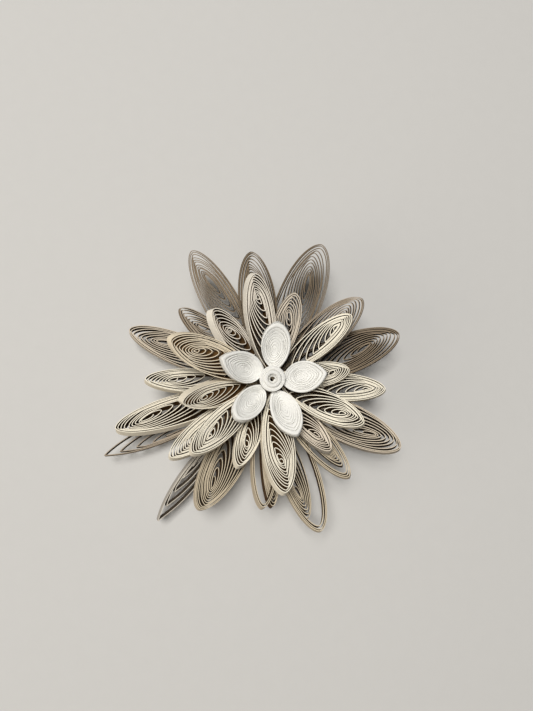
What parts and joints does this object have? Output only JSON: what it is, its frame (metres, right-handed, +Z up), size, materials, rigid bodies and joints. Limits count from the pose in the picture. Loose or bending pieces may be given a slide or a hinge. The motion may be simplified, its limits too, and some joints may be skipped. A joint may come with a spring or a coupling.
{
  "type": "quilled paper chrysanthemum",
  "caption": "Quilled paper flower: rows of long coiled and pinched paper strip petals round a coiled hub, with a small dense white flower and button in the middle.",
  "frame": {"origin": "on the flower's axis, at the middle of the flat underside of the base coil", "axes": "+Z up along the flower's axis, from the base to the face; +Y towards the petals at the top of the picture, +X towards those at its right"},
  "size_m": [0.0892, 0.0843, 0.0327],
  "materials": {
    "kraft_back": "matt grey brown kraft paper with paler cut edges",
    "kraft_middle": "matt kraft paper with paler cut edges",
    "kraft_front": "matt golden cream paper with paler cut edges",
    "white_paper": "soft matt white paper"
  },
  "bodies": {
    "root": {"base_coil": "kraft_back", "hub_roll": "kraft_back", "loose_petal_1": "kraft_back", "loose_petal_2": "kraft_back", "back_petal_1": "kraft_back", "back_petal_2": "kraft_back", "back_petal_3": "kraft_back", "back_petal_4": "kraft_back", "back_petal_5": "kraft_back", "back_petal_6": "kraft_back", "back_petal_7": "kraft_back", "back_petal_8": "kraft_back", "middle_petal_1": "kraft_middle", "middle_petal_2": "kraft_middle", "middle_petal_3": "kraft_middle", "middle_petal_4": "kraft_middle", "middle_petal_5": "kraft_middle", "middle_petal_6": "kraft_middle", "middle_petal_7": "kraft_middle", "middle_petal_8": "kraft_middle", "small_petal_1": "kraft_front", "small_petal_2": "kraft_front", "small_petal_3": "kraft_front", "small_petal_4": "kraft_front", "small_petal_5": "kraft_front", "small_petal_6": "kraft_front", "front_petal_1": "kraft_front", "front_petal_2": "kraft_front", "front_petal_3": "kraft_front", "front_petal_4": "kraft_front", "front_petal_5": "kraft_front", "front_petal_6": "kraft_front", "white_petal_1": "white_paper", "white_petal_2": "white_paper", "white_petal_3": "white_paper", "white_petal_4": "white_paper", "white_petal_5": "white_paper", "white_button": "white_paper"}
  },
  "joints": []
}
